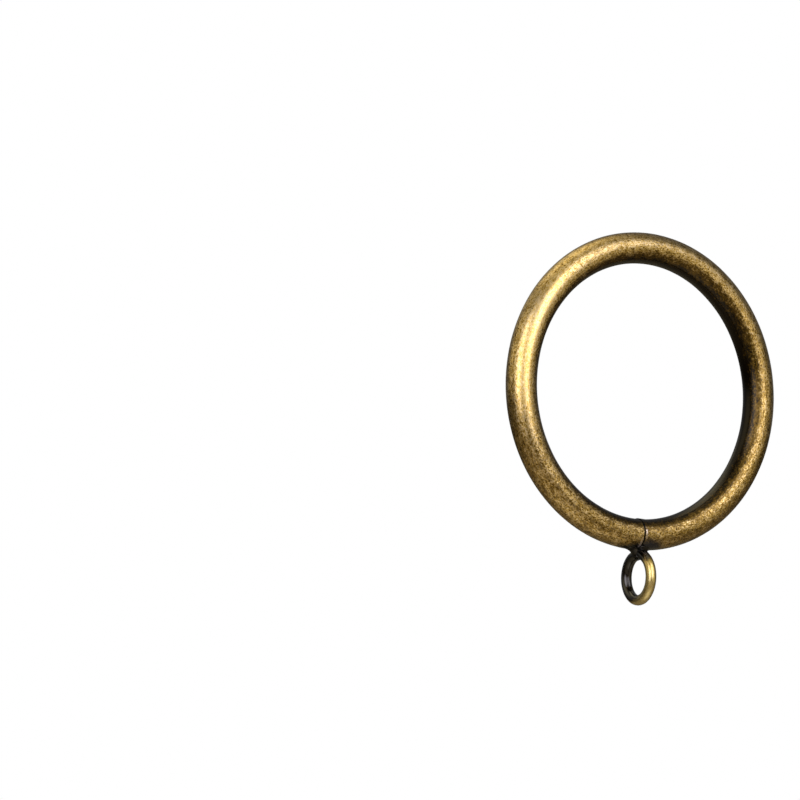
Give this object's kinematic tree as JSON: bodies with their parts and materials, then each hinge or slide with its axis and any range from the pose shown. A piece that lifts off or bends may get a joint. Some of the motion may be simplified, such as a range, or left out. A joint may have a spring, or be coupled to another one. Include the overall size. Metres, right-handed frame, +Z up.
{
  "type": "eyelet curtain ring",
  "caption": "Round metal curtain ring of bent bar with a butt joint, and a small wire eyelet welded under the joint to take a curtain hook.",
  "frame": {"origin": "centre of the ring, on the axis that the curtain rod takes", "axes": "+Y along the ring's axis, the way the rod runs; +Z up, away from the eyelet; +X across the ring"},
  "size_m": [0.062, 0.011, 0.0727],
  "materials": {
    "ring_finish": "antique brass plate on steel, darkened, relieved and lacquered",
    "eyelet_finish": "antique brass plate on steel, darkened, relieved and lacquered",
    "weld_finish": "weld metal, blackened with the rest and hardly relieved"
  },
  "bodies": {
    "root": {"ring": "ring_finish", "eyelet": "eyelet_finish", "weld_bead": "weld_finish"}
  },
  "joints": []
}
